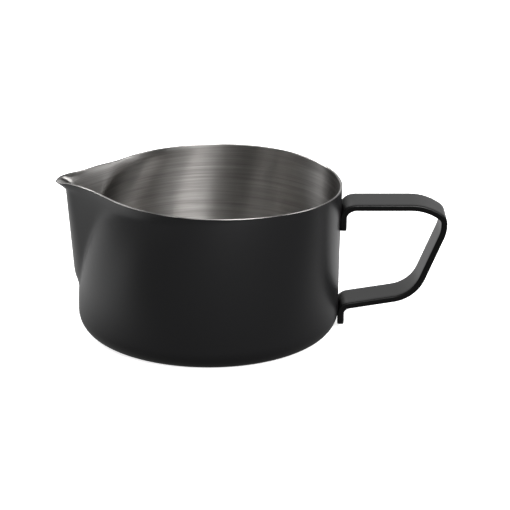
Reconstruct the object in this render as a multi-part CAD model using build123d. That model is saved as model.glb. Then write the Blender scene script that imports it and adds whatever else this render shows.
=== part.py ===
from build123d import *
import math
import os

# Milk frothing pitcher, in millimetres. The origin is the centre of the base, on the surface it stands on.
# +Z is up, the pouring spout points to -X and the handle stands out to +X.

# The drawn cup
body_radius = 49.9          # outside of the steel below the spout
rim_height = 58.65          # rim at mid-length
wall = 0.8
base_corner = 7.6           # outside radius between wall and base
dish_radius = 35.0          # the base is dished upward inside this radius, so the cup stands on a ring
dish_depth = 0.7
dish_slope = 2.0            # width of the sloping step round the dish

# How pressing the spout changes the round wall
narrowing_foot = 8.0        # the wall starts to narrow at this height
rim_narrowing = 4.6         # loss of radius at the rim
rim_shift = 5.55            # shift of the rim's round part towards the handle
narrowing_power = 1.8

# The spout itself
spout_foot = 16.0           # its front starts to come out of the wall just above this height
foot_height = 10.0          # height over which it comes out
foot_depth = 2.2            # how far it comes out over that height
front_reach = 51.6          # distance from the axis to the front of the spout, just above its foot
front_lean = 0.085          # how much further the front leans out for each millimetre of height
nose_radius_foot = 29.0     # plan radius of the front at the foot
nose_radius_rim = 7.4       # plan radius of the front at the rim
flank_normal = 41.4         # plan angle between the spout's direction and its flanks' normals
flank_blend = 7.5           # size of the hollow blend between flank and wall, at the rim
lip_height = 4.05           # the lip starts to curl out this far below the rim
lip_radius = 2.5            # outside radius of that curl
lip_angle = 56.0            # final angle of the lip from the vertical
lip_spread = 7.0            # plan half-angle over which the lip fades into the flanks

# The rim seen from the side
spout_rise = 0.75
tip_dip = 1.05
handle_drop = 1.55

# The coating
coat = 0.12
bare_rim = 0.35             # steel left bare below the rim
bare_foot = 0.5             # the outer coat ends this far above the table

# The handle strap, bent in the plane of the spout; runs and corners are given along its middle line
strap_width = 14.0
strap_thickness = 2.4
strap_edge_break = 0.4      # the long edges are broken by this much
grip_height = 49.8          # height of the level top run
elbow_start = 83.05         # the top run turns down here,
elbow_reach = 89.5          # stands upright this far out
elbow_top = 45.05           # between these two heights,
elbow_bottom = 40.3
heel_reach = 78.65          # and slants in to the lower elbow
heel_height = 14.2
lower_root_height = 9.75    # where the lower run meets the lower tab
upper_root_radius = 4.8
elbow_start_radius = 20.0
elbow_top_radius = 3.4
elbow_bottom_radius = 13.5
heel_radius = 14.0
lower_root_radius = 3.8

# The tabs at the strap's ends
upper_tab_drop = 9.8        # the upper tab ends this far below the middle line of the top run,
lower_tab_drop = 7.75       # and the lower tab this far below its root
tab_corner = 2.6
tab_margin = 0.05           # the coat stays back this far from the strap's edges

# The spot welds
weld_diameter = 3.0
weld_depth = 0.45           # how deep each nugget reaches into either sheet
weld_spacing = 6.4
upper_weld_drop = 6.7       # measured as the tabs' ends are
lower_weld_drop = 3.55

# How finely the wall's sections are drawn
section_points = 96
point_crowding = 0.15       # how far the points crowd towards the spout, from 0 to 1
corner_sections = 7         # sections round the bottom corner
foot_step = 1.6             # spacing of the sections up the spout's foot,
wall_step = 5.0             # up the nearly straight wall above it
lip_step = 1.0              # and up the lip
root_sections = 6           # sections along each of the strap's roots


def smooth_step(share):
    """Rise from 0 to 1 with level ends."""
    share = min(max(share, 0.0), 1.0)
    return share * share * (3.0 - 2.0 * share)


def smooth_larger(first, second, blend):
    """The larger of two lengths, with the corner between them rounded over the blend."""
    overlap = max(blend - abs(first - second), 0.0) / blend
    return max(first, second) + overlap ** 3 * blend / 6.0


def climb(height, foot):
    """0 up to the given foot, 1 at the rim."""
    return max(height - foot, 0.0) / (rim_height - foot)


def round_wall(height, grow):
    """Radius of the wall's round part at this height, and its shift towards the handle."""
    change = climb(height, narrowing_foot) ** narrowing_power
    return body_radius + grow - rim_narrowing * change, rim_shift * change


def front_distance(height):
    """Distance from the axis to the front of the spout, without the lip."""
    below = max(1.0 - (height - spout_foot) / foot_height, 0.0)
    return front_reach + front_lean * (height - spout_foot - foot_height) - foot_depth * below ** 2


def lip_curl(height, grow):
    """How far the lip stands out at this height: an arc, then a straight slope."""
    above = max(height - rim_height + lip_height, 0.0)
    radius = max(lip_radius - grow, 0.1)
    angle = math.radians(lip_angle)
    arc_rise = radius * math.sin(angle)
    on_arc = min(above, arc_rise)
    return radius - math.sqrt(radius ** 2 - on_arc ** 2) + (above - on_arc) * math.tan(angle)


def section_radius(turn, height, grow):
    """Distance from the axis to the wall, at a plan angle measured from the spout's direction."""
    radius, shift = round_wall(height, grow)
    to_round = math.sqrt(radius ** 2 - (shift * math.sin(turn)) ** 2) - shift * math.cos(turn)
    share = climb(height, spout_foot)
    nose = nose_radius_rim + (nose_radius_foot - nose_radius_rim) * max(1.0 - share, 0.0)
    centre = front_distance(height) - nose
    nose += grow
    normal = math.radians(flank_normal)
    away = abs(turn)
    if away < math.atan2(nose * math.sin(normal), centre + nose * math.cos(normal)):
        to_spout = centre * math.cos(away) + math.sqrt(nose ** 2 - (centre * math.sin(away)) ** 2)
    else:
        to_spout = (centre * math.cos(normal) + nose) / math.cos(min(away, normal) - normal)
    blend = max(flank_blend * share, 0.05)
    lip = lip_curl(height, grow) * math.exp(-(turn / math.radians(lip_spread)) ** 2)
    return smooth_larger(to_round, to_spout, blend) + lip


def wall_section(height, grow, inset=0.0):
    """The wall's closed outline at this height, as a face. Grow moves it outward and inset inward."""
    points = []
    for i in range(section_points):
        place = 2.0 * (i + 0.5) / section_points - 1.0
        turn = math.pi * place - point_crowding * math.sin(math.pi * place)
        radius = section_radius(turn, height, grow) - inset
        points.append((-radius * math.cos(turn), -radius * math.sin(turn), height))
    shares = [i / section_points for i in range(section_points + 1)]
    return make_face(Edge.make_spline(points, periodic=True, parameters=shares))


def spread(start, end, step):
    """Evenly spaced heights from start to end, about one step apart."""
    count = math.ceil((end - start) / step)
    return [start + (end - start) * i / count for i in range(count + 1)]


def cup_form(grow, bottom):
    """Solid inside the wall's outer face moved outward by grow, standing on the given height."""
    corner = base_corner + grow
    foot_top = spout_foot + foot_height
    lip_start = rim_height - lip_height
    lip_top = rim_height + lip_height / 2.0
    base = []
    for i in range(corner_sections + 1):
        angle = math.pi / 2.0 * i / corner_sections
        inset = corner * (1.0 - math.sin(angle))
        base.append(wall_section(bottom + corner * (1.0 - math.cos(angle)), grow, inset))
    foot = [wall_section(height, grow) for height in spread(spout_foot, foot_top, foot_step)]
    middle = [wall_section(height, grow) for height in spread(foot_top, lip_start, wall_step)]
    lip = [wall_section(height, grow) for height in spread(lip_start, lip_top, lip_step)]
    straight = loft(base + foot[:1], ruled=True) + loft(middle, ruled=True)
    return straight + loft(foot) + loft(lip)


def rim_trim(lowered):
    """Everything above the rim's line as seen from the side, moved down by lowered."""
    tip = section_radius(0.0, rim_height, 0.0)
    handle_side = sum(round_wall(rim_height, 0.0))
    line = Spline(
        (-tip, rim_height + spout_rise - tip_dip - lowered),
        (-tip * 0.9, rim_height + spout_rise - lowered),
        (-tip * 0.55, rim_height + spout_rise * 0.15 - lowered),
        (-tip * 0.1, rim_height - lowered),
        (handle_side * 0.4, rim_height - handle_drop * 0.22 - lowered),
        (handle_side, rim_height - handle_drop - lowered),
    )
    beyond = 3.0 * lip_height
    start, end = line @ 0 - line % 0 * beyond, line @ 1 + line % 1 * beyond
    top = rim_height + 2.0 * beyond
    sides = Polyline(line @ 1, end, (end.X, top), (start.X, top), start, line @ 0)
    profile = Plane.XZ * make_face([line, *sides.edges()])
    return extrude(profile, amount=2.0 * body_radius, both=True)


def base_dish(raised, wider):
    """The shallow dish in the base, as the solid below it."""
    profile = Polyline(
        (0.0, -wall),
        (dish_radius + wider, -wall),
        (dish_radius + wider, raised),
        (dish_radius + wider - dish_slope, raised + dish_depth),
        (0.0, raised + dish_depth),
        close=True,
    )
    return revolve(Plane.XZ * make_face(profile), Axis.Z)


def vessel_body():
    """The drawn steel cup: outer form less inner form, dished below and trimmed at the rim."""
    outer = cup_form(0.0, 0.0) - base_dish(0.0, 0.0)
    inner = cup_form(-wall, wall) - base_dish(wall, wall / 2.0)
    return outer - inner - rim_trim(0.0) - upper_spot_welds() - lower_spot_welds()


def outer_coat():
    """The coating on the outside of the wall, open where the tabs are welded on."""
    skin = cup_form(coat, -coat) - cup_form(0.0, 0.0) - rim_trim(bare_rim)
    below = Pos(0.0, 0.0, bare_foot - body_radius) * Box(4 * body_radius, 4 * body_radius, 2 * body_radius)
    upper_top = root_contact(grip_height, upper_root_radius, math.pi / 2.0)
    lower_top = root_contact(lower_root_height, lower_root_radius, lower_root_turn())
    upper = tab_blank(grip_height - upper_tab_drop, upper_top)
    lower = tab_blank(lower_root_height - lower_tab_drop, lower_top)
    return skin - below - upper - lower


def strap_reach(height):
    """Distance from the axis to the strap's middle line where it lies on the wall."""
    return section_radius(math.pi, height, 0.0) + strap_thickness / 2.0


def lower_root_turn():
    """How far the strap turns at the lower root: a right angle less the lower run's rise."""
    run = heel_reach - strap_reach(lower_root_height)
    return math.pi / 2.0 - math.atan2(heel_height - lower_root_height, run)


def bend_start(corner_height, bend_radius, bend_turn):
    """Height at which a root's bend starts."""
    return corner_height - bend_radius * math.tan(bend_turn / 2.0)


def root_contact(corner_height, bend_radius, bend_turn):
    """Height at which a root's bend has left the wall by twice the coat's thickness."""
    back = bend_radius + strap_thickness / 2.0
    return bend_start(corner_height, bend_radius, bend_turn) + math.sqrt(back ** 2 - (back - 2.0 * coat) ** 2)


def strap_section(place, up, bow):
    """The strap's cross-section there, seen along the strap, with its middle bowed away from the wall."""
    half_width = strap_width / 2.0
    half_thickness = strap_thickness / 2.0
    flat_width = half_width - strap_edge_break
    flat_side = half_thickness - strap_edge_break

    def at(across, through):
        return across, through + bow * (across / half_width) ** 2

    edges = []
    for side in (1, -1):
        ends = at(-side * flat_width, side * half_thickness), at(side * flat_width, side * half_thickness)
        edges.append(ThreePointArc(ends[0], at(0.0, side * half_thickness), ends[1]) if bow else Line(*ends))
        sides = at(side * half_width, side * flat_side), at(side * half_width, -side * flat_side)
        following = at(side * flat_width, -side * half_thickness)
        edges += [Line(ends[1], sides[0]), Line(*sides), Line(sides[1], following)]
    plane = Plane(origin=(place[0], 0.0, place[1]), x_dir=(0, 1, 0), z_dir=(up[0], 0.0, up[1]))
    return plane * make_face(edges)


def strap_root(reach, tab_drop, corner_height, bend_radius, bend_turn):
    """A tab that follows the wall, and the bend that flattens it into the strap."""
    tab_end = corner_height - tab_drop
    start = bend_start(corner_height, bend_radius, bend_turn)
    wall_radius = round_wall(start, 0.0)[0]
    bow = wall_radius - math.sqrt(wall_radius ** 2 - (strap_width / 2.0) ** 2)
    tab = loft([strap_section((reach, height), (0.0, 1.0), bow) for height in (tab_end - tab_corner, start)])
    sections = []
    for i in range(root_sections + 1):
        share = i / root_sections
        turn = bend_turn * share
        place = reach + bend_radius * (1.0 - math.cos(turn)), start + bend_radius * math.sin(turn)
        bow_here = bow * (1.0 - smooth_step(share))
        sections.append(strap_section(place, (math.sin(turn), math.cos(turn)), bow_here))
    return (tab & tab_blank(tab_end, corner_height)) + loft(sections, ruled=True)


def tab_blank(low, high):
    """A block a margin wider than the tab, with its rounded lower corners, through the handle's side."""
    height = high - low
    outline = Pos(0.0, low + height / 2.0) * Rectangle(strap_width + 2.0 * tab_margin, height)
    outline = fillet(outline.vertices().sort_by(Axis.Y)[:2], tab_corner)
    return Pos(body_radius * 0.8, 0.0, 0.0) * extrude(Plane.YZ * outline, amount=body_radius * 0.4)


def handle():
    """The bent strap between its two roots."""
    upper_reach = strap_reach(grip_height - upper_root_radius)
    lower_reach = strap_reach(lower_root_height)
    lower_turn = lower_root_turn()
    tangent = lower_root_radius * math.tan(lower_turn / 2.0)
    out, up = tangent * math.sin(lower_turn), tangent * math.cos(lower_turn)
    path = FilletPolyline(
        (upper_reach + upper_root_radius, grip_height),
        (elbow_start, grip_height),
        (elbow_reach, elbow_top),
        (elbow_reach, elbow_bottom),
        (heel_reach, heel_height),
        (lower_reach + out, lower_root_height + up),
        radius=(elbow_start_radius, elbow_top_radius, elbow_bottom_radius, heel_radius),
    )
    path = Plane.XZ * path
    start = path @ 0
    strap = sweep(strap_section((start.X, start.Z), (1.0, 0.0), 0.0), path)
    upper = strap_root(upper_reach, upper_tab_drop, grip_height, upper_root_radius, math.pi / 2.0)
    lower = strap_root(lower_reach, lower_tab_drop, lower_root_height, lower_root_radius, lower_turn)
    return strap + upper + lower - upper_spot_welds() - lower_spot_welds()


def spot_weld():
    """One nugget, a flat button whose axis lies along X."""
    return Rot(0.0, 90.0, 0.0) * Cylinder(weld_diameter / 2.0, 2.0 * weld_depth)


def weld_pair(height):
    """Two nuggets side by side between tab and wall."""
    angle = math.degrees(weld_spacing / 2.0 / body_radius)
    distance = section_radius(math.pi - math.radians(angle), height, 0.0)
    nugget = Pos(distance, 0.0, height) * spot_weld()
    return Compound([Rot(0.0, 0.0, side * angle) * nugget for side in (-1, 1)])


def upper_spot_welds():
    return weld_pair(grip_height - upper_weld_drop)


def lower_spot_welds():
    return weld_pair(lower_root_height - lower_weld_drop)


os.makedirs("parts", exist_ok=True)
for node in (vessel_body, outer_coat, handle, upper_spot_welds, lower_spot_welds):
    export_step(node(), f"parts/{node.__name__}.step")
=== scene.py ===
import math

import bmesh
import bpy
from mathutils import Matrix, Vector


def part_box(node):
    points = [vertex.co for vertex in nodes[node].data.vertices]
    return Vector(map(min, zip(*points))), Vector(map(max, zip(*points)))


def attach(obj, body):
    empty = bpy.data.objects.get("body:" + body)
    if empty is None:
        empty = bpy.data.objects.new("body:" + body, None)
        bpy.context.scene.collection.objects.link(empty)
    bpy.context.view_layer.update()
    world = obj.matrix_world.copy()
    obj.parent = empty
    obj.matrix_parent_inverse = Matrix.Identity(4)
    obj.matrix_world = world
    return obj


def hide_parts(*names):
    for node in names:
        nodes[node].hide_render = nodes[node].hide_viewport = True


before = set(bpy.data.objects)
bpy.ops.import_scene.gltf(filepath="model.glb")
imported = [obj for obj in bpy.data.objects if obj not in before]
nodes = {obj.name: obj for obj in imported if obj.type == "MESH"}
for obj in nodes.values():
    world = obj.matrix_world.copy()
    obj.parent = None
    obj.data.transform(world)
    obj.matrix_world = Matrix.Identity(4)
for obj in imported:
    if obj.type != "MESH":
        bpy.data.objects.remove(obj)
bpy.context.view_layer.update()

# %% [markdown]
# # A frothing pitcher in black powder coat and brushed steel
# The pitcher is one drawn steel cup with a pressed spout, coated black outside, and one bent strap as its
# handle. Two pairs of spot welds hold the strap. The solid model gives the frame, the welds and the main
# sizes. The cup, its coat and the strap are modelled again here, because the fold beside the spout is
# crisper and the strap's edges are rounder than in the solid model. The rest of the lesson is about
# finishes and light: a dark matte skin shows only broad reflections, and bare brushed steel shows every
# lamp as a band.

print("pieces:", sorted(nodes))

# %% [markdown]
# ## The drawn cup and its pressed spout
# The real cup is drawn as a plain round cup, and a tool then presses the spout out of its wall. The wall
# folds where the round part meets the spout's flanks, and the rim curls over at the tip. The solid model
# has this form with a softer fold, so these two pieces, the steel and its coat, take its place with the
# fold as crisp as the real one. They could be lofted through many sections. Spinning the profile of the
# round cup and then moving its vertices as the press does is shorter, follows the real process and gives
# even faces.

# %% Sizes of the cup in millimetres
MM = 0.001
BODY_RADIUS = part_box("vessel_body")[1][1] / MM
RIM_HEIGHT = 58.65
WALL = 0.8
BASE_CORNER = 7.6
DISH_RADIUS, DISH_SLOPE, DISH_DEPTH = 35.0, 2.0, 0.7
COAT, BARE_RIM, BARE_FOOT = 0.12, 0.15, 0.5
print("body radius in mm:", round(BODY_RADIUS, 2))


# %% How the press changes the round wall
NARROWING_FOOT, NARROWING, NARROWING_POWER = 8.0, 4.6, 2.3
HANDLE_SIDE, HANDLE_SIDE_POWER = 0.95, 1.8


def smooth_step(share):
    """Rise from 0 to 1 with level ends."""
    share = min(max(share, 0.0), 1.0)
    return share * share * (3.0 - 2.0 * share)


def climb(height, foot):
    """0 up to the given foot, 1 at the rim."""
    return max(height - foot, 0.0) / (RIM_HEIGHT - foot)


def round_wall(height, grow):
    """The round part's radius, and its shift towards the handle, whose side stays nearly upright."""
    change = climb(height, NARROWING_FOOT)
    narrowing = NARROWING * change ** NARROWING_POWER
    return BODY_RADIUS + grow - narrowing, narrowing + HANDLE_SIDE * change ** HANDLE_SIDE_POWER


rim_radius, rim_shift = round_wall(RIM_HEIGHT, 0.0)
print("round part at the rim in mm:", round(rim_radius, 2), "shifted by:", round(rim_shift, 2))


# %% The spout's front, flanks and lip
SPOUT_FOOT, FOOT_HEIGHT, FOOT_DEPTH = 16.0, 8.0, 2.4
FRONT_REACH, FRONT_LEAN = 51.5, 0.085
NOSE_FOOT, NOSE_RIM = 15.0, 7.4
FLANK_FOOT, FLANK_RIM, FLANK_POWER = math.radians(48.0), math.radians(41.4), 6
FOLD, FOLD_RIM, FOLD_POWER = 1.3, 6.0, 8
LIP_HEIGHT, LIP_RADIUS = 4.05, 2.5
LIP_ANGLE, LIP_SPREAD = math.radians(56.0), math.radians(7.0)


def front_distance(height):
    """Distance from the axis to the front of the spout, without the lip."""
    below = max(1.0 - (height - SPOUT_FOOT) / FOOT_HEIGHT, 0.0)
    return FRONT_REACH + FRONT_LEAN * (height - SPOUT_FOOT - FOOT_HEIGHT) - FOOT_DEPTH * below ** 2


def lip_curl(height, grow):
    """How far the lip stands out at this height: an arc, then a straight slope."""
    above = max(height - RIM_HEIGHT + LIP_HEIGHT, 0.0)
    radius = LIP_RADIUS - grow
    on_arc = min(above, radius * math.sin(LIP_ANGLE))
    return radius - math.sqrt(radius ** 2 - on_arc ** 2) + (above - on_arc) * math.tan(LIP_ANGLE)


def pressed_radius(turn, height, grow):
    """Distance from the axis to the pressed wall, at a plan angle measured from the spout's direction."""
    radius, shift = round_wall(height, grow)
    to_round = math.sqrt(radius ** 2 - (shift * math.sin(turn)) ** 2) - shift * math.cos(turn)
    share = climb(height, SPOUT_FOOT)
    nose = NOSE_FOOT + (NOSE_RIM - NOSE_FOOT) * share
    centre = front_distance(height) - nose
    nose += grow
    normal = FLANK_FOOT + (FLANK_RIM - FLANK_FOOT) * share ** FLANK_POWER
    away = abs(turn)
    if away < math.atan2(nose * math.sin(normal), centre + nose * math.cos(normal)):
        to_spout = centre * math.cos(away) + math.sqrt(nose ** 2 - (centre * math.sin(away)) ** 2)
    else:
        to_spout = (centre * math.cos(normal) + nose) / math.cos(min(away, normal) - normal)
    fold = FOLD + (FOLD_RIM - FOLD) * share ** FOLD_POWER
    overlap = max(fold - abs(to_round - to_spout), 0.0) / fold
    lip = lip_curl(height, grow) * math.exp(-(turn / LIP_SPREAD) ** 2)
    # The farther wall wins, and near the fold the overlap rounds the corner between the two.
    return max(to_round, to_spout) + overlap ** 3 * fold / 6.0 + lip


print("spout's reach at the rim in mm:", round(pressed_radius(0.0, RIM_HEIGHT, 0.0), 2))


# %% The rim's line seen from the side
SPOUT_RISE, RISE_START, RISE_END = 0.8, 34.0, 45.0
TIP_DIP, DIP_START = 1.05, 51.5
HANDLE_DROP = 1.5
RIM_ZONE = 30.0


def rim_change(reach):
    """How far the rim lies above its usual height, this far from the axis towards the spout."""
    tip = pressed_radius(0.0, RIM_HEIGHT, 0.0)
    rise = SPOUT_RISE * smooth_step((reach - RISE_START) / (RISE_END - RISE_START))
    dip = TIP_DIP * max((reach - DIP_START) / (tip - DIP_START), 0.0) ** 2
    drop = HANDLE_DROP * max(-reach / BODY_RADIUS, 0.0) ** 3
    return rise - dip - drop


print("rim's change at the handle's side in mm:", round(rim_change(-BODY_RADIUS), 2))


# %% Spin, press and scale
CUP_SEGMENTS = 320
CROWDING = 0.45
ROW_HEIGHT = 1.5
LIP_ROW = 0.4
LIP_LEAD = 1.0
CORNER_ROWS = 8
MERGE_DISTANCE = 0.001
SHARP_ANGLE = math.radians(35.0)


def rows(low, high, step):
    """Evenly spaced heights between two heights, without the first."""
    count = math.ceil((high - low) / step)
    return [low + (high - low) * (i + 1) / count for i in range(count)]


def wall_face(grow, low, high):
    """Profile points up the wall's face moved outward by grow, from one height to another."""
    corner = BASE_CORNER + grow
    start = math.acos(1.0 - (low + grow) / corner)
    points = []
    for i in range(CORNER_ROWS + 1):
        angle = start + (math.pi / 2.0 - start) * i / CORNER_ROWS
        reach = BODY_RADIUS - BASE_CORNER + corner * math.sin(angle)
        points.append((reach, BASE_CORNER - corner * math.cos(angle)))
    lip_start = RIM_HEIGHT - LIP_HEIGHT - LIP_LEAD
    heights = rows(BASE_CORNER, lip_start, ROW_HEIGHT) + rows(lip_start, high, LIP_ROW)
    return points + [(BODY_RADIUS + grow, height) for height in heights]


def finished(form, name):
    """The form scaled from millimetres to metres, as a smooth object that rides on the body."""
    bmesh.ops.scale(form, vec=(MM, MM, MM), verts=form.verts)
    bmesh.ops.recalc_face_normals(form, faces=form.faces)
    mesh = bpy.data.meshes.new(name)
    form.to_mesh(mesh)
    form.free()
    mesh.shade_smooth()
    mesh.set_sharp_from_angle(angle=SHARP_ANGLE)
    piece = bpy.data.objects.new(name, mesh)
    bpy.context.scene.collection.objects.link(piece)
    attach(piece, "root")
    print(name, "faces:", len(mesh.polygons))
    return piece


def pressed_cup(name, profile):
    """A closed profile in millimetres, spun about the axis and pressed."""
    form = bmesh.new()
    corners = [form.verts.new((-reach, 0.0, height)) for reach, height in profile]
    sides = [form.edges.new(pair) for pair in zip(corners, corners[1:])]
    if profile[0][0] > 0.0:
        sides.append(form.edges.new((corners[-1], corners[0])))
    bmesh.ops.spin(
        form, geom=corners + sides, cent=(0, 0, 0), axis=(0, 0, 1),
        angle=2.0 * math.pi, steps=CUP_SEGMENTS, use_merge=True,
    )
    bmesh.ops.remove_doubles(form, verts=form.verts, dist=MERGE_DISTANCE)
    for vert in form.verts:
        reach = math.hypot(vert.co.x, vert.co.y)
        if reach < DISH_RADIUS:
            continue
        turn = math.atan2(-vert.co.y, -vert.co.x)
        # The columns crowd together towards the spout, where the wall folds.
        turn -= CROWDING * math.sin(turn)
        grow = reach - BODY_RADIUS if vert.co.z > BASE_CORNER else 0.0
        rim_reach = pressed_radius(turn, RIM_HEIGHT, 0.0) * math.cos(turn)
        share = smooth_step((vert.co.z - RIM_ZONE) / (RIM_HEIGHT - RIM_ZONE))
        height = vert.co.z + rim_change(rim_reach) * share
        reach += pressed_radius(turn, height, grow) - BODY_RADIUS - grow
        vert.co = (-reach * math.cos(turn), -reach * math.sin(turn), height)
    return finished(form, name)


# %% Steel cup
EDGE_BREAK = 0.2

outside = wall_face(0.0, 0.0, RIM_HEIGHT - EDGE_BREAK)
inside = wall_face(-WALL, WALL, RIM_HEIGHT - EDGE_BREAK)
inner_dish = DISH_RADIUS + WALL / 2.0
steel_profile = [
    (0.0, DISH_DEPTH), (DISH_RADIUS - DISH_SLOPE, DISH_DEPTH), (DISH_RADIUS, 0.0),
    *outside,
    (BODY_RADIUS - EDGE_BREAK, RIM_HEIGHT), (BODY_RADIUS - WALL + EDGE_BREAK, RIM_HEIGHT),
    *reversed(inside),
    (inner_dish, WALL), (inner_dish - DISH_SLOPE, WALL + DISH_DEPTH), (0.0, WALL + DISH_DEPTH),
]
steel_cup = pressed_cup("steel_cup", steel_profile)
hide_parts("vessel_body")

# %% Coat
coat_top = RIM_HEIGHT - BARE_RIM
coat_profile = wall_face(COAT, BARE_FOOT, coat_top) + wall_face(0.0, BARE_FOOT, coat_top)[::-1]
coat_skin = pressed_cup("coat_skin", coat_profile)
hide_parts("outer_coat")

# %% [markdown]
# ## The bent strap
# The handle starts as a flat steel strip with rounded long edges. It is bent at six corners, and its two
# ends are dished to lie on the wall. The solid model only breaks those edges, and black metal shows
# itself mostly by the light along its edges, so the strap is modelled again on the same line. It could be
# a curve with a bevel, but the dished tabs at its ends need work on the mesh anyway. Here its outline is
# pushed along each run and turned round each corner, as the strip itself is bent, and the two ends are
# shaped afterwards.

# %% Sizes of the strap in millimetres
STRAP_WIDTH, STRAP_THICKNESS, STRAP_ROUND = 15.0, 2.4, 0.6
HALF_WIDTH, HALF_THICKNESS = STRAP_WIDTH / 2.0, STRAP_THICKNESS / 2.0
ROUND_STEPS, WIDTH_CUTS = 5, 7
GRIP_HEIGHT, LOWER_ROOT_HEIGHT = 49.8, 9.75
UPPER_TAB_END, LOWER_TAB_END = 40.0, 2.0
TAB_CORNER, TAB_EDGE = 2.6, 0.6
TAB_ROWS = (0.1, 0.3, 0.6, 1.1, 1.8, TAB_CORNER)
BENDS = (
    ((83.05, GRIP_HEIGHT), 19.0),
    ((89.5, 45.05), 3.4),
    ((89.5, 40.3), 13.5),
    ((78.65, 14.2), 14.0),
)
ROOT_BENDS = (4.8, 3.8)
BEND_STEP = math.radians(6.0)


def strap_reach(height):
    """Distance from the axis to the strap's middle where it lies on the wall."""
    return pressed_radius(math.pi, height, 0.0) + HALF_THICKNESS


upper_reach = strap_reach(GRIP_HEIGHT - ROOT_BENDS[0])
lower_reach = strap_reach(LOWER_ROOT_HEIGHT)
strap_corners = [
    ((upper_reach, GRIP_HEIGHT), ROOT_BENDS[0]),
    *BENDS,
    ((lower_reach, LOWER_ROOT_HEIGHT), ROOT_BENDS[1]),
]
print("strap's corners in mm, with their radii:", strap_corners)


# %% Push and bend the section
def strap_section(form):
    """The strap's rounded outline, lying level at the upper tab's end."""
    wide, deep = HALF_WIDTH - STRAP_ROUND, HALF_THICKNESS - STRAP_ROUND
    verts = []
    for quarter, (x, y) in enumerate(((deep, wide), (-deep, wide), (-deep, -wide), (deep, -wide))):
        for i in range(ROUND_STEPS + 1):
            angle = (quarter + i / ROUND_STEPS) * math.pi / 2.0
            across = y + STRAP_ROUND * math.sin(angle)
            reach = upper_reach + x + STRAP_ROUND * math.cos(angle)
            verts.append(form.verts.new((reach, across, UPPER_TAB_END)))
    edges = [form.edges.new(pair) for pair in zip(verts, verts[1:] + verts[:1])]
    long_edges = [edge for edge in edges if edge.calc_length() > HALF_WIDTH]
    bmesh.ops.subdivide_edges(form, edges=long_edges, cuts=WIDTH_CUTS)
    return list(form.verts) + list(form.edges)


def push(form, outline, vector, centre=(0.0, 0.0, 0.0), turn=0.0):
    """Carry the outline on by a vector, or in small steps round a centre, with the strap's skin behind."""
    last = bmesh.ops.spin(
        form, geom=outline, cent=centre, axis=(0.0, 1.0, 0.0), dvec=vector, angle=turn,
        steps=max(math.ceil(abs(turn) / BEND_STEP), 1),
    )["geom_last"]
    return [part for part in last if not isinstance(part, bmesh.types.BMFace)]


def follow_corners(form, outline):
    """Take the outline from the upper tab round every corner to the lower tab."""
    place = Vector((upper_reach, 0.0, UPPER_TAB_END + TAB_CORNER))
    targets = [corner for corner, radius in strap_corners[1:]] + [(lower_reach, LOWER_TAB_END)]
    for (corner, radius), target in zip(strap_corners, targets):
        corner = Vector((corner[0], 0.0, corner[1]))
        into = (corner - place).normalized()
        out = (Vector((target[0], 0.0, target[1])) - corner).normalized()
        turn = math.copysign(into.angle(out), into.cross(out).y)
        tangent = radius * math.tan(abs(turn) / 2.0)
        start = corner - tangent * into
        outline = push(form, outline, start - place)
        centre = start + math.copysign(radius, turn) * Vector((0.0, 1.0, 0.0)).cross(into)
        outline = push(form, outline, (0.0, 0.0, 0.0), centre, turn)
        place = corner + tangent * out
    return push(form, outline, (0.0, 0.0, LOWER_TAB_END + TAB_CORNER - place.z))


# %% Shape the strap's ends
ON_WALL = 0.01


def rounded(half, corner, from_end):
    """Half the tab's size this far from its end, where the corner there is rounded."""
    cut = max(corner - from_end, 0.0)
    return half - corner + math.sqrt(corner ** 2 - cut ** 2)


def dish_ends(form):
    """Round the tabs' corners and edges, and bow the tabs and their roots to the wall."""
    bow = BODY_RADIUS - math.sqrt(BODY_RADIUS ** 2 - HALF_WIDTH ** 2)
    for vert in form.verts:
        upper = vert.co.z > GRIP_HEIGHT / 2.0
        reach = upper_reach if upper else lower_reach
        outside = vert.co.x - reach - HALF_THICKNESS
        from_end = vert.co.z - (UPPER_TAB_END if upper else LOWER_TAB_END)
        if outside < ON_WALL:
            vert.co.y *= rounded(HALF_WIDTH, TAB_CORNER, from_end) / HALF_WIDTH
            depth = rounded(HALF_THICKNESS, TAB_EDGE, from_end) / HALF_THICKNESS
            vert.co.x = reach + (vert.co.x - reach) * depth
        share = 1.0 - smooth_step(outside / ROOT_BENDS[0 if upper else 1])
        vert.co.x -= bow * share * (vert.co.y / HALF_WIDTH) ** 2


# %% Strap
form = bmesh.new()
outline = strap_section(form)
for low, high in zip((0.0, *TAB_ROWS), TAB_ROWS):
    outline = push(form, outline, (0.0, 0.0, high - low))
outline = follow_corners(form, outline)
for high, low in zip(TAB_ROWS[::-1], (*TAB_ROWS[-2::-1], 0.0)):
    outline = push(form, outline, (0.0, 0.0, low - high))
bmesh.ops.remove_doubles(form, verts=form.verts, dist=MERGE_DISTANCE)
dish_ends(form)
bmesh.ops.holes_fill(form, edges=form.edges, sides=0)
strap = finished(form, "bent_strap")
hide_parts("handle")

# %% [markdown]
# ## Two small helpers
# A colour is picked as an sRGB hex value, as on a paint card, but the renderer adds light in linear
# numbers, so one function turns one into the other. A second function adds a shader node, sets it up and
# links it, so that each material below reads from top to bottom like a recipe.

# %% Colour and node helpers
def linear(hex_colour):
    """An sRGB hex colour as the linear RGBA that the renderer works in."""
    channels = []
    for i in (0, 2, 4):
        share = int(hex_colour[i:i + 2], 16) / 255
        channels.append(share / 12.92 if share <= 0.04045 else ((share + 0.055) / 1.055) ** 2.4)
    return (*channels, 1.0)


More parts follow.
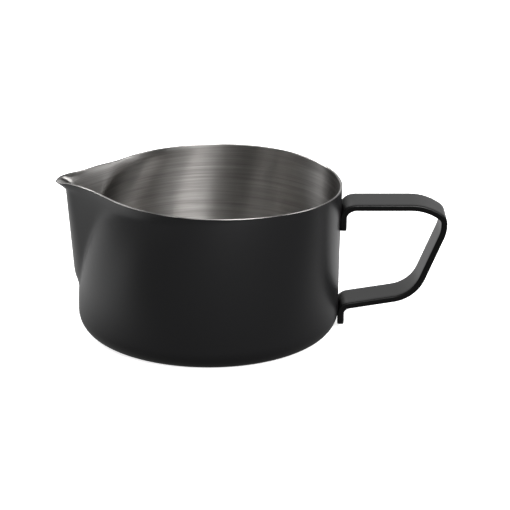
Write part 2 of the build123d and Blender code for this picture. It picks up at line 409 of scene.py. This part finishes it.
def add_node(material, kind, settings=None, **links):
    """One shader node: settings go to its own properties, links are values or sockets for its inputs."""
    tree = material.node_tree
    node = tree.nodes.new(kind)
    for name, value in (settings or {}).items():
        setattr(node, name, value)
    for name, value in links.items():
        key = int(name[1:]) if name[0] == "_" and name[1:].isdigit() else name.replace("_", " ")
        socket = node.inputs[key]
        if isinstance(value, bpy.types.NodeSocket):
            tree.links.new(value, socket)
        else:
            socket.default_value = value
    return node


def new_material(name):
    """An empty node material with its output."""
    material = bpy.data.materials.new(name)
    material.use_nodes = True
    material.node_tree.nodes.clear()
    return material


def finish_material(material, surface):
    """Links the surface shader to the output and returns the material."""
    add_node(material, "ShaderNodeOutputMaterial", Surface=surface)
    return material


def per_mm(size):
    """The texture scale for a pattern this many millimetres wide, as coordinates are in metres."""
    return 1000 / size


COAT_BLACK = linear("151516")
print("coat black in linear light:", [round(value, 4) for value in COAT_BLACK[:3]])

# %% [markdown]
# ## Black powder coat
# Powder coat is a polyester dust that is baked until it flows. It leaves a skin about a tenth of a
# millimetre thick with a faint orange peel, so it is black with a wide soft sheen and no sharp
# reflection. It could be made with a glossy layer over a diffuse one, but one dielectric surface with a
# fair roughness does the same and stays easy to export. The peel is about 0.6 mm from crest to crest. The
# strap is a deeper black than the wall, with less sheen.

# %% Powder coat
STRAP_BLACK = linear("0b0b0b")
# The peel's size is in millimetres, and its height in metres.
PEEL_SIZE = 0.6
PEEL_HEIGHT, PEEL_STRENGTH = 0.00002, 0.25
COAT_ROUGHNESS, COAT_IOR = 0.34, 1.5
WALL_SHEEN, STRAP_SHEEN = 0.5, 0.2


def peel_bump(material, coordinates):
    """The orange peel of baked powder, as a normal."""
    peel = add_node(
        material, "ShaderNodeTexNoise",
        Vector=coordinates, Scale=per_mm(PEEL_SIZE), Detail=2.0, Roughness=0.5,
    ).outputs["Fac"]
    return add_node(
        material, "ShaderNodeBump", Strength=PEEL_STRENGTH, Distance=PEEL_HEIGHT, Height=peel
    ).outputs["Normal"]


def powder_coat(name, black, sheen):
    """Baked black powder: dark, with a broad sheen."""
    material = new_material(name)
    place = add_node(material, "ShaderNodeTexCoord").outputs["Object"]
    shader = add_node(
        material, "ShaderNodeBsdfPrincipled",
        Base_Color=black, Roughness=COAT_ROUGHNESS, IOR=COAT_IOR, Specular_IOR_Level=sheen,
        Normal=peel_bump(material, place),
    )
    return finish_material(material, shader.outputs["BSDF"])


# %% [markdown]
# ## Brushed stainless steel
# The inside is turned against an abrasive belt, which leaves fine rings round the wall and the floor. A
# ring scratch spreads light across itself and not along itself, so each lamp becomes an upright band.
# That is what an anisotropic shader does, with its tangent across the rings: up the wall, and outward on
# the floor. The rings themselves are a noise pattern that is long round the cup and short up the wall.
# The finest are drawn coarser than real scratches, which are too fine to show. The underside of the base
# has no belt finish: powder covers it.

# %% Sizes and colours of the brushed steel
STEEL = linear("b0aeac")
STEEL_DARK = linear("949290")
# Ring spacings are in millimetres, their lengths in radians, and depths and heights in metres.
FINE_RING, COARSE_RING = 0.35, 1.1
FINE_LENGTH, COARSE_LENGTH = 0.8, 0.6
RING_RANGE = (0.7, 1.3)
RING_DEPTH, RING_STRENGTH = 0.00002, 0.12
STEEL_ROUGHNESS = (0.3, 0.335)
ANISOTROPY = 0.95
FLOOR_TOP, CORNER_TOP = 0.003, 0.009
OUTWARD_ON_FLOOR, OUTWARD_ON_WALL = 1.0, 0.15
UP = (0.0, 0.0, 1.0)
UNDERSIDE_TOP = 0.0015
FACING_DOWN = -0.5
print("steel in linear light:", [round(value, 3) for value in STEEL[:3]])


# %% Brushed steel
def rings(material, around, run, spacing, length, detail):
    """A pattern this many millimetres wide from ring to ring, and about this many radians long."""
    along = add_node(
        material, "ShaderNodeVectorMath", {"operation": "SCALE"}, Vector=around, Scale=1.0 / length
    ).outputs["Vector"]
    turn = add_node(material, "ShaderNodeSeparateXYZ", Vector=along)
    rise = add_node(material, "ShaderNodeMath", {"operation": "MULTIPLY"}, _0=run, _1=per_mm(spacing))
    vector = add_node(
        material, "ShaderNodeCombineXYZ",
        X=turn.outputs["X"], Y=turn.outputs["Y"], Z=rise.outputs["Value"],
    ).outputs["Vector"]
    return add_node(
        material, "ShaderNodeTexNoise", Vector=vector, Scale=1.0, Detail=detail, Roughness=0.6
    ).outputs["Fac"]


def brushed_steel(name):
    """Bare stainless steel with belt rings round the axis, and the coat's black on the underside."""
    material = new_material(name)
    texture = add_node(material, "ShaderNodeTexCoord")
    place = texture.outputs["Object"]
    parts = add_node(material, "ShaderNodeSeparateXYZ", Vector=place)
    x, y, z = (parts.outputs[axis] for axis in "XYZ")
    flat = add_node(material, "ShaderNodeCombineXYZ", X=x, Y=y, Z=0.0).outputs["Vector"]
    radius = add_node(
        material, "ShaderNodeVectorMath", {"operation": "LENGTH"}, Vector=flat
    ).outputs["Value"]
    around = add_node(
        material, "ShaderNodeVectorMath", {"operation": "NORMALIZE"}, Vector=flat
    ).outputs["Vector"]

    # The rings follow the height on the wall, and the radius too on the floor and its corner.
    on_floor = add_node(
        material, "ShaderNodeMath", {"operation": "LESS_THAN"}, _0=z, _1=CORNER_TOP
    ).outputs["Value"]
    run = add_node(
        material, "ShaderNodeMath", {"operation": "MULTIPLY_ADD"}, _0=radius, _1=on_floor, _2=z
    ).outputs["Value"]
    fine = rings(material, around, run, FINE_RING, FINE_LENGTH, 3.0)
    coarse = rings(material, around, run, COARSE_RING, COARSE_LENGTH, 2.0)
    both = add_node(material, "ShaderNodeMath", {"operation": "ADD"}, _0=fine, _1=coarse).outputs["Value"]
    tone, roughness = (
        add_node(
            material, "ShaderNodeMapRange",
            Value=both, From_Min=RING_RANGE[0], From_Max=RING_RANGE[1], To_Min=low, To_Max=high,
        ).outputs["Result"]
        for low, high in ((0.0, 1.0), STEEL_ROUGHNESS)
    )
    colour = add_node(
        material, "ShaderNodeMix", {"data_type": "RGBA"}, _0=tone, _6=STEEL_DARK, _7=STEEL
    ).outputs[2]
    bump = add_node(
        material, "ShaderNodeBump", Strength=RING_STRENGTH, Distance=RING_DEPTH, Height=both
    ).outputs["Normal"]

    # A little of the outward direction stays on the wall, so that the level rim has a tangent too.
    share = add_node(
        material, "ShaderNodeMapRange",
        Value=z, From_Min=FLOOR_TOP, From_Max=CORNER_TOP, To_Min=OUTWARD_ON_FLOOR, To_Max=OUTWARD_ON_WALL,
    ).outputs["Result"]
    shares = add_node(material, "ShaderNodeCombineXYZ", X=share, Y=share, Z=share).outputs["Vector"]
    across = add_node(
        material, "ShaderNodeVectorMath", {"operation": "MULTIPLY_ADD"}, _0=around, _1=shares, _2=UP
    ).outputs["Vector"]
    bare = add_node(
        material, "ShaderNodeBsdfPrincipled", {"distribution": "GGX"},
        Base_Color=colour, Metallic=1.0, Roughness=roughness, Anisotropic=ANISOTROPY,
        Normal=bump, Tangent=across,
    )

    facing = add_node(material, "ShaderNodeSeparateXYZ", Vector=texture.outputs["Normal"]).outputs["Z"]
    down = add_node(
        material, "ShaderNodeMath", {"operation": "LESS_THAN"}, _0=facing, _1=FACING_DOWN
    ).outputs["Value"]
    low = add_node(
        material, "ShaderNodeMath", {"operation": "LESS_THAN"}, _0=z, _1=UNDERSIDE_TOP
    ).outputs["Value"]
    underside = add_node(material, "ShaderNodeMath", {"operation": "MULTIPLY"}, _0=down, _1=low)
    powder = add_node(
        material, "ShaderNodeBsdfPrincipled",
        Base_Color=COAT_BLACK, Roughness=COAT_ROUGHNESS, IOR=COAT_IOR,
        Normal=peel_bump(material, place),
    )
    surface = add_node(
        material, "ShaderNodeMixShader",
        _0=underside.outputs["Value"], _1=bare.outputs["BSDF"], _2=powder.outputs["BSDF"],
    )
    return finish_material(material, surface.outputs["Shader"])


# %% [markdown]
# ## Finishes onto the pieces
# Each piece has one material. The cup and the welds are bare steel, and the coat and the strap are powder
# coated. A piece from the solid model already has a slot, and a new one gets its first. The materials
# could be set where each piece is made, but in one table the whole object's finishes can be read at a
# glance.

# %% Assign the materials
FINISHES = {
    steel_cup: brushed_steel("stainless_steel_belt_brushed"),
    coat_skin: powder_coat("black_powder_coat_on_wall", COAT_BLACK, WALL_SHEEN),
    strap: powder_coat("black_powder_coat_on_strap", STRAP_BLACK, STRAP_SHEEN),
    nodes["upper_spot_welds"]: brushed_steel("stainless_steel_weld_upper"),
    nodes["lower_spot_welds"]: brushed_steel("stainless_steel_weld_lower"),
}
for piece, material in FINISHES.items():
    if piece.material_slots:
        piece.material_slots[0].material = material
    else:
        piece.data.materials.append(material)
    print(piece.name, "now", material.name)

# %% [markdown]
# ## Paper floor
# A pale floor that runs out of view stands in for the paper sweep of a product studio, and the camera
# sees it white. Around a black object the studio itself is kept dim, because black is only as black as
# what it mirrors: the near paper is in shade, the sweep behind the cup is lit, and a soft shadow lies
# round the foot. Black cards and a flag could do this, but they would have to be hidden from every view.
# So the paper has two answers instead, one for the camera and one for every other ray.

# %% Floor
FLOOR_SIZE = 6.0
PAPER_WHITE = linear("fbfbfb")
PURE_WHITE = linear("ffffff")
PAPER_GLOW = 0.86
PAPER_SHADE, PAPER_LIT = 0.12, 0.9
SHADE_EDGE, LIT_EDGE, LIT_SLANT = -0.09, 0.03, -0.25
CUP_SHADOW = (0.045, 0.115)
CUP_SHADOW_DEPTH = 0.35


# The shade in front, the lit sweep behind and the shadow round the foot are painted into the paper's glow,
# not cast by the lamps.
def paper_light(material):
    """How brightly the paper glows towards the object: painted shade in front, painted light behind, and a
    painted shadow round the foot.
    """
    place = add_node(material, "ShaderNodeTexCoord").outputs["Object"]
    parts = add_node(material, "ShaderNodeSeparateXYZ", Vector=place)
    depth = add_node(
        material, "ShaderNodeMath", {"operation": "MULTIPLY_ADD"},
        _0=parts.outputs["X"], _1=LIT_SLANT, _2=parts.outputs["Y"],
    ).outputs["Value"]
    sweep = add_node(
        material, "ShaderNodeMapRange", {"interpolation_type": "SMOOTHSTEP"},
        Value=depth, From_Min=SHADE_EDGE, From_Max=LIT_EDGE, To_Min=PAPER_SHADE, To_Max=PAPER_LIT,
    ).outputs["Result"]
    reach = add_node(
        material, "ShaderNodeVectorMath", {"operation": "LENGTH"}, Vector=place
    ).outputs["Value"]
    shadow = add_node(
        material, "ShaderNodeMapRange", {"interpolation_type": "SMOOTHSTEP"},
        Value=reach, From_Min=CUP_SHADOW[0], From_Max=CUP_SHADOW[1], To_Min=CUP_SHADOW_DEPTH, To_Max=1.0,
    ).outputs["Result"]
    return add_node(
        material, "ShaderNodeMath", {"operation": "MULTIPLY"}, _0=sweep, _1=shadow
    ).outputs["Value"]


def studio_paper():
    """White paper for the camera, and the sweep's light for every other ray."""
    material = new_material("white_studio_paper")
    around = add_node(
        material, "ShaderNodeEmission", Color=PURE_WHITE, Strength=paper_light(material)
    ).outputs["Emission"]
    glow = add_node(
        material, "ShaderNodeEmission", Color=PAPER_WHITE, Strength=PAPER_GLOW
    ).outputs["Emission"]
    matte = add_node(material, "ShaderNodeBsdfDiffuse", Color=PAPER_WHITE).outputs["BSDF"]
    seen = add_node(material, "ShaderNodeAddShader", _0=glow, _1=matte).outputs["Shader"]
    ray = add_node(material, "ShaderNodeLightPath").outputs["Is Camera Ray"]
    surface = add_node(material, "ShaderNodeMixShader", _0=ray, _1=around, _2=seen)
    return finish_material(material, surface.outputs["Shader"])


bpy.ops.mesh.primitive_plane_add(size=FLOOR_SIZE)
floor = bpy.context.object
floor.name = "floor"
floor.data.materials.append(studio_paper())
print("floor in m:", list(floor.dimensions))

# %% [markdown]
# ## Camera
# The cup is seen from a little above, so that the brushed inside shows behind the front rim. A long lens
# from a metre away keeps the ellipses of the rim and the foot nearly alike. The camera looks straight at
# the cup's axis, so that both of its sides look alike, and the lens is shifted sideways to centre the cup
# and its handle together. Turning the camera would centre them too, but the cup would then lean a little.

# %% Camera
CAMERA_TILT = math.radians(20.13)
CAMERA_DISTANCE = 1.0
CAMERA_AIM = Vector((0.0, 0.0, 0.02836))
CAMERA_LENS, CAMERA_SENSOR = 184.0, 36.0
CAMERA_SHIFT = 0.0912

camera_data = bpy.data.cameras.new("camera")
camera_data.lens = CAMERA_LENS
camera_data.sensor_width = CAMERA_SENSOR
camera_data.shift_x = CAMERA_SHIFT
camera = bpy.data.objects.new("camera", camera_data)
bpy.context.scene.collection.objects.link(camera)
back = Vector((0.0, -math.cos(CAMERA_TILT), math.sin(CAMERA_TILT)))
camera.location = CAMERA_AIM + CAMERA_DISTANCE * back
camera.rotation_euler = (math.pi / 2.0 - CAMERA_TILT, 0.0, 0.0)
bpy.context.scene.camera = camera
print("camera at:", [round(value, 3) for value in camera.location])

# %% [markdown]
# ## Dim room and softboxes
# The room has the paper's two answers: white behind the paper's edge, and dim in every reflection. The
# plain Standard view keeps the white white. An open sky would be simpler than lamps, but it would fill
# the steel with an even grey. Each softbox gives the brushed inside one upright band, so their bearings
# set where the bands lie and their widths how wide they are. The lamps are high, where the matte skin
# hardly mirrors them.

# %% World
ROOM_WHITE, ROOM_DIM = 1.0, 0.05

world = bpy.data.worlds.new("studio")
world.use_nodes = True
world.node_tree.nodes.clear()
white_room, dim_room = (
    add_node(world, "ShaderNodeBackground", Color=PURE_WHITE, Strength=strength).outputs["Background"]
    for strength in (ROOM_WHITE, ROOM_DIM)
)
ray = add_node(world, "ShaderNodeLightPath").outputs["Is Camera Ray"]
room = add_node(world, "ShaderNodeMixShader", _0=ray, _1=dim_room, _2=white_room).outputs["Shader"]
add_node(world, "ShaderNodeOutputWorld", Surface=room)
bpy.context.scene.world = world
bpy.context.scene.view_settings.view_transform = "Standard"
print("room's light in reflections:", ROOM_DIM)

# %% Softboxes
LAMP_AIM = Vector((0.0, 0.0, 0.04))


def softbox(name, bearing, height, distance, width, tall, glow):
    """A rectangular lamp that faces the cup. Bearing 0 is the camera's side and 90 the handle's side."""
    data = bpy.data.lights.new(name, "AREA")
    data.shape = "RECTANGLE"
    data.size = width
    data.size_y = tall
    data.energy = glow * math.pi * width * tall
    lamp = bpy.data.objects.new(name, data)
    bpy.context.scene.collection.objects.link(lamp)
    angle = math.radians(bearing)
    lamp.location = (distance * math.sin(angle), -distance * math.cos(angle), height)
    lamp.rotation_euler = (LAMP_AIM - lamp.location).to_track_quat("-Z", "Y").to_euler()
    lamp.visible_camera = False
    print(name, "watts:", round(data.energy, 2))


# name, bearing in degrees, height, distance, width and tallness in metres, glow
softbox("front_right", 21.0, 0.9, 1.0, 0.6, 0.8, 14.0)
softbox("right", 47.0, 0.9, 1.0, 0.28, 0.8, 6.0)
softbox("side_right", 98.0, 0.8, 1.0, 0.35, 0.8, 5.5)
softbox("left_strip", -52.0, 0.9, 1.0, 0.14, 0.8, 4.5)
softbox("left_back_strip", -122.0, 0.8, 1.0, 0.25, 0.8, 19.0)
softbox("backdrop", 180.0, 0.35, 0.9, 1.0, 0.7, 0.8)
softbox("overhead", 0.0, 1.1, 0.35, 0.8, 0.5, 3.0)
